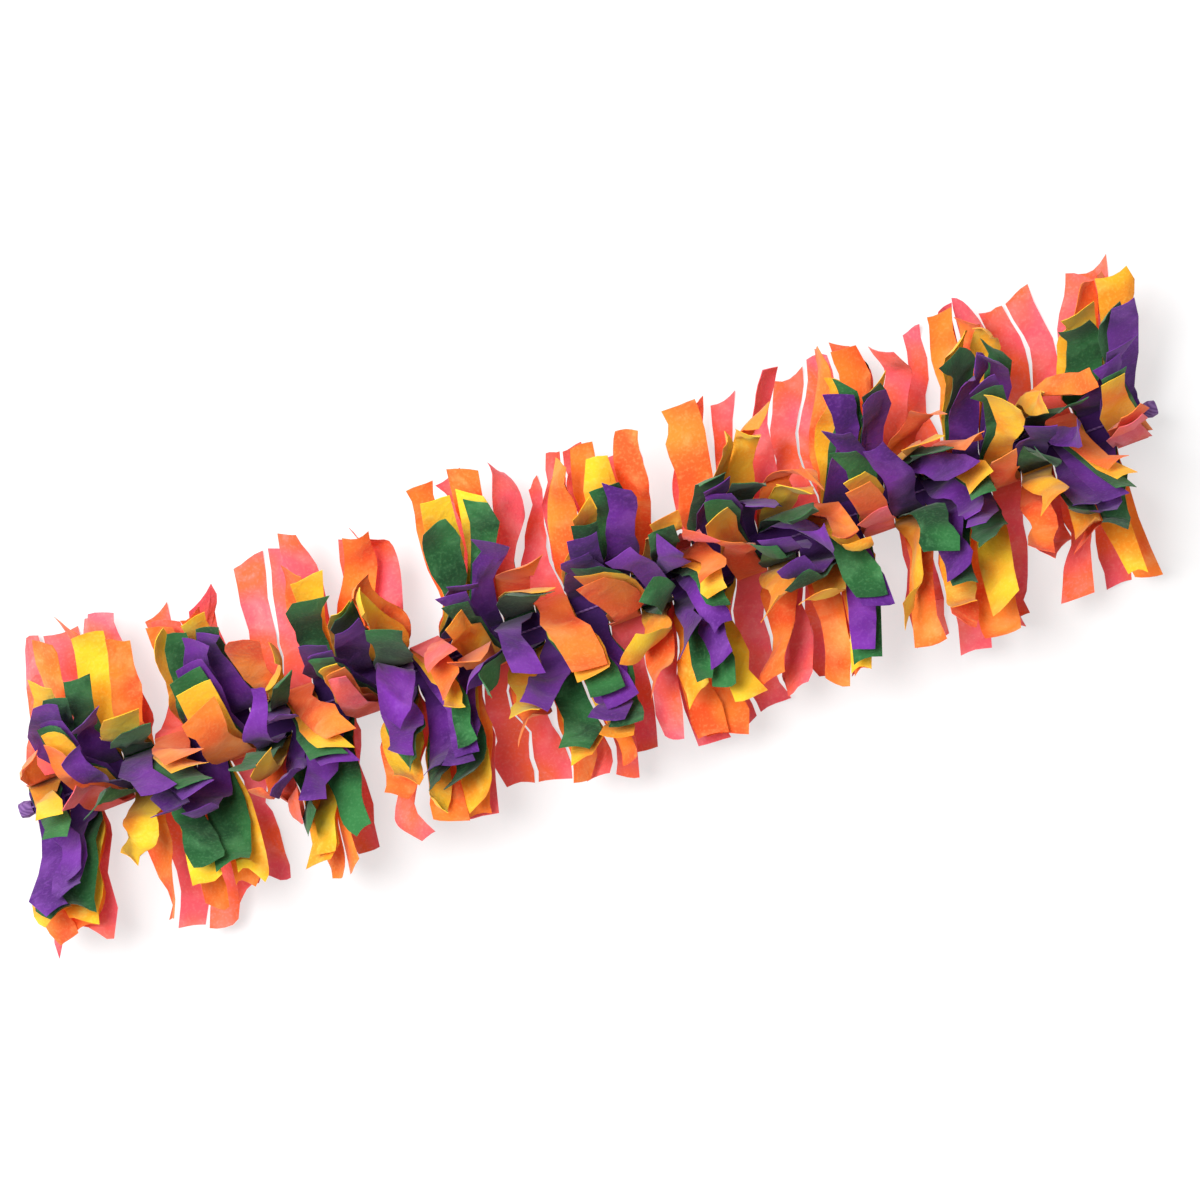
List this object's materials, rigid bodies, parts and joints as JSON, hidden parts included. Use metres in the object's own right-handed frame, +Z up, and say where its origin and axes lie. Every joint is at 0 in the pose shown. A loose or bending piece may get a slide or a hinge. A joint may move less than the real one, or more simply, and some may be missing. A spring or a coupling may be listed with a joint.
{
  "type": "tissue festoon garland",
  "caption": "Stack of coloured tissue strips sewn together along the middle, with both edges slit into tabs and fluffed up into a full shaggy band.",
  "frame": {"origin": "on the table under the middle of the garland", "axes": "+X along the seam, +Y across it, +Z up from the table"},
  "size_m": [0.4593, 0.1267, 0.0746],
  "materials": {
    "pink_tissue": "matte",
    "orange_tissue": "matte",
    "yellow_tissue": "matte",
    "green_tissue": "matte",
    "purple_tissue": "matte",
    "thread": "matte"
  },
  "bodies": {
    "root": {"pink_tissue_strip": "pink_tissue", "orange_tissue_strip": "orange_tissue", "yellow_tissue_strip": "yellow_tissue", "green_tissue_strip": "green_tissue", "purple_tissue_strip": "purple_tissue", "needle_thread": "thread", "bobbin_thread": "thread"}
  },
  "joints": []
}
